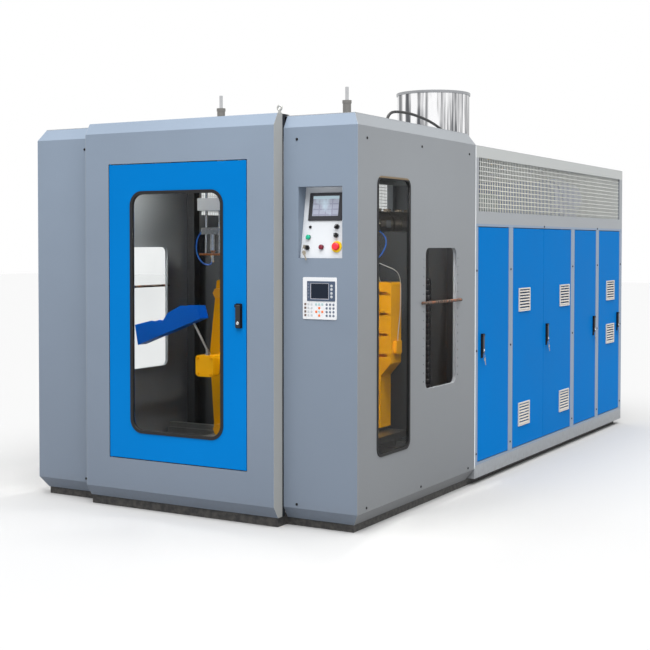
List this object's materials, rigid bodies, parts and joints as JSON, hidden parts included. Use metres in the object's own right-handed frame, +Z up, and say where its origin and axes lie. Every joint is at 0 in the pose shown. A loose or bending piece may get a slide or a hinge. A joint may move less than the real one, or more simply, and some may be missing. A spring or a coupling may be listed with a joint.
{
  "type": "extrusion blow moulding machine",
  "caption": "Guarded extrusion blow moulding machine with a windowed front door, shuttling clamps, a hopper and a long blue-doored cabinet.",
  "frame": {"origin": "centre of the footprint at floor level, on the underside of the middle cross member", "axes": "+Z up, -Y towards the operator's door, +X to the right of someone facing that door"},
  "size_m": [2.1735, 4.71, 2.631],
  "materials": {
    "button_dark_red": "gloss",
    "button_green": "gloss",
    "button_red": "gloss",
    "chute_blue": "satin",
    "clamp_yellow": "painted",
    "clear_pane": "clear",
    "console_white": "gloss",
    "cylinder_aluminium": "satin",
    "door_blue": "satin",
    "frame_black": "satin",
    "gear_green": "satin",
    "hopper_steel": "polished",
    "hose_black": "matte",
    "lock_black": "matte",
    "machine_steel": "machined",
    "mesh_steel": "satin",
    "motor_blue": "satin",
    "panel_blue_grey": "satin",
    "panel_grey": "satin",
    "rod_chrome": "polished",
    "rusty_steel": "rusted",
    "screen_black": "matte",
    "seal_rubber": "matte"
  },
  "bodies": {
    "housing": {"barrel": "machine_steel", "base_frame": "frame_black", "block_roof": "panel_grey", "blow_cylinders": "cylinder_aluminium", "bulkhead": "panel_grey", "cabinet_frame": "panel_grey", "cabinet_panels": "panel_grey", "carriage_rails": "machine_steel", "console_plate": "console_white", "controller": "console_white", "die_head": "machine_steel", "extruder_motor": "motor_blue", "front_left_panel": "panel_blue_grey", "front_right_panel": "panel_blue_grey", "front_surround": "panel_blue_grey", "gearbox": "gear_green", "guard_bars": "rusty_steel", "hopper": "hopper_steel", "left_side_panel": "panel_grey", "lifting_eye": "machine_steel", "mesh_left": "mesh_steel", "mesh_right": "mesh_steel", "power_pack": "gear_green", "right_side_panel": "panel_grey", "roof_hose": "hose_black", "side_gaskets": "seal_rubber", "side_panes": "clear_pane", "touch_screen": "screen_black"},
    "front_door": {"front_door": "door_blue", "door_gasket": "seal_rubber", "door_pane": "clear_pane"},
    "door_lever": {"door_lever": "lock_black"},
    "cabinet_door_1": {"cabinet_door_1": "door_blue"},
    "cabinet_door_2a": {"cabinet_door_2a": "door_blue"},
    "cabinet_door_2b": {"cabinet_door_2b": "door_blue"},
    "cabinet_door_3": {"cabinet_door_3": "door_blue"},
    "cabinet_door_4": {"cabinet_door_4": "door_blue"},
    "cabinet_lever_1": {"cabinet_lever_1": "lock_black"},
    "cabinet_lever_2": {"cabinet_lever_2": "lock_black"},
    "cabinet_lever_3": {"cabinet_lever_3": "lock_black"},
    "cabinet_lever_4": {"cabinet_lever_4": "lock_black"},
    "estop_button": {"estop_button": "button_red"},
    "start_button": {"start_button": "button_green"},
    "stop_button": {"stop_button": "button_dark_red"},
    "key_switch": {"key_switch": "lock_black"},
    "selector_upper": {"selector_upper": "lock_black"},
    "selector_lower": {"selector_lower": "lock_black"},
    "carriage": {"carriage": "machine_steel", "tray": "chute_blue"},
    "clamp_frame_left": {"rear_platen_left": "clamp_yellow", "end_plate_left": "clamp_yellow", "tie_bars_left": "rod_chrome"},
    "front_platen_left": {"front_platen_left": "clamp_yellow"},
    "clamp_frame_right": {"rear_platen_right": "clamp_yellow", "end_plate_right": "clamp_yellow", "tie_bars_right": "rod_chrome"},
    "front_platen_right": {"front_platen_right": "clamp_yellow"},
    "blow_pin_left": {"blow_pin_left": "machine_steel"},
    "blow_pin_right": {"blow_pin_right": "machine_steel"},
    "extruder_screw": {"extruder_screw": "machine_steel"}
  },
  "joints": [
    {"name": "front_door_hinge", "type": "hinge", "parent": "housing", "child": "front_door", "pos_m": [-0.451, -2.339, 1.1035], "axis": [0, 0, -1], "range_deg": [0, 110]},
    {"name": "door_lever_pivot", "type": "hinge", "parent": "front_door", "child": "door_lever", "pos_m": [0.413, -2.356, 1.1555], "axis": [-1, 0, 0], "range_deg": [0, 35]},
    {"name": "cabinet_door_1_hinge", "type": "hinge", "parent": "housing", "child": "cabinet_door_1", "pos_m": [1.064, -0.194, 0.8625], "axis": [0, 0, 1], "range_deg": [0, 90]},
    {"name": "cabinet_door_2a_hinge", "type": "hinge", "parent": "housing", "child": "cabinet_door_2a", "pos_m": [1.064, -0.098, 0.8625], "axis": [0, 0, -1], "range_deg": [0, 90]},
    {"name": "cabinet_door_2b_hinge", "type": "hinge", "parent": "housing", "child": "cabinet_door_2b", "pos_m": [1.064, 1.048, 0.8625], "axis": [0, 0, 1], "range_deg": [0, 90]},
    {"name": "cabinet_door_3_hinge", "type": "hinge", "parent": "housing", "child": "cabinet_door_3", "pos_m": [1.064, 1.15, 0.8625], "axis": [0, 0, -1], "range_deg": [0, 90]},
    {"name": "cabinet_door_4_hinge", "type": "hinge", "parent": "housing", "child": "cabinet_door_4", "pos_m": [1.064, 1.74, 0.8625], "axis": [0, 0, -1], "range_deg": [0, 90]},
    {"name": "cabinet_lever_1_pivot", "type": "hinge", "parent": "cabinet_door_1", "child": "cabinet_lever_1", "pos_m": [1.081, -0.635, 0.9185], "axis": [0, -1, 0], "range_deg": [0, 35]},
    {"name": "cabinet_lever_2_pivot", "type": "hinge", "parent": "cabinet_door_2b", "child": "cabinet_lever_2", "pos_m": [1.081, 0.532, 0.9185], "axis": [0, -1, 0], "range_deg": [0, 35]},
    {"name": "cabinet_lever_3_pivot", "type": "hinge", "parent": "cabinet_door_3", "child": "cabinet_lever_3", "pos_m": [1.081, 1.595, 0.9185], "axis": [0, -1, 0], "range_deg": [0, 35]},
    {"name": "cabinet_lever_4_pivot", "type": "hinge", "parent": "cabinet_door_4", "child": "cabinet_lever_4", "pos_m": [1.081, 2.22, 0.9185], "axis": [0, -1, 0], "range_deg": [0, 35]},
    {"name": "estop_press", "type": "slide", "parent": "housing", "child": "estop_button", "axis": [0, 0.9871, -0.1602], "range_m": [0, 0.004]},
    {"name": "start_press", "type": "slide", "parent": "housing", "child": "start_button", "axis": [0, 0.9871, -0.1602], "range_m": [0, 0.004], "stiffness_N_per_m": 500},
    {"name": "stop_press", "type": "slide", "parent": "housing", "child": "stop_button", "axis": [0, 0.9871, -0.1602], "range_m": [0, 0.004], "stiffness_N_per_m": 500},
    {"name": "key_turn", "type": "hinge", "parent": "housing", "child": "key_switch", "pos_m": [0.76, -2.22551, 1.4601], "axis": [0, -0.9871, 0.1602], "range_deg": [0, 90]},
    {"name": "selector_upper_turn", "type": "hinge", "parent": "housing", "child": "selector_upper", "pos_m": [0.926, -2.2079, 1.56868], "axis": [0, -0.9871, 0.1602], "range_deg": [-90, 0]},
    {"name": "selector_lower_turn", "type": "hinge", "parent": "housing", "child": "selector_lower", "pos_m": [0.925, -2.2151, 1.52426], "axis": [0, -0.9871, 0.1602], "range_deg": [-90, 0]},
    {"name": "carriage_shuttle", "type": "slide", "parent": "housing", "child": "carriage", "axis": [1, 0, 0], "range_m": [-0.455, 0]},
    {"name": "clamp_frame_left_slide", "type": "slide", "parent": "carriage", "child": "clamp_frame_left", "axis": [0, -1, 0], "range_m": [0, 0.1]},
    {"name": "front_platen_left_slide", "type": "slide", "parent": "carriage", "child": "front_platen_left", "axis": [0, 1, 0], "range_m": [0, 0.1]},
    {"name": "clamp_frame_right_slide", "type": "slide", "parent": "carriage", "child": "clamp_frame_right", "axis": [0, -1, 0], "range_m": [0, 0.1]},
    {"name": "front_platen_right_slide", "type": "slide", "parent": "carriage", "child": "front_platen_right", "axis": [0, 1, 0], "range_m": [0, 0.1]},
    {"name": "blow_pin_left_stroke", "type": "slide", "parent": "housing", "child": "blow_pin_left", "axis": [0, 0, -1], "range_m": [0, 0.12]},
    {"name": "blow_pin_right_stroke", "type": "slide", "parent": "housing", "child": "blow_pin_right", "axis": [0, 0, -1], "range_m": [0, 0.12]},
    {"name": "screw_turn", "type": "hinge", "parent": "housing", "child": "extruder_screw", "pos_m": [0, 0, 1.62], "axis": [0, 1, 0], "continuous": true}
  ],
  "couplings": [
    {"joint": "front_platen_left_slide", "follows": "clamp_frame_left_slide", "ratio": 1},
    {"joint": "front_platen_right_slide", "follows": "clamp_frame_right_slide", "ratio": 1}
  ]
}
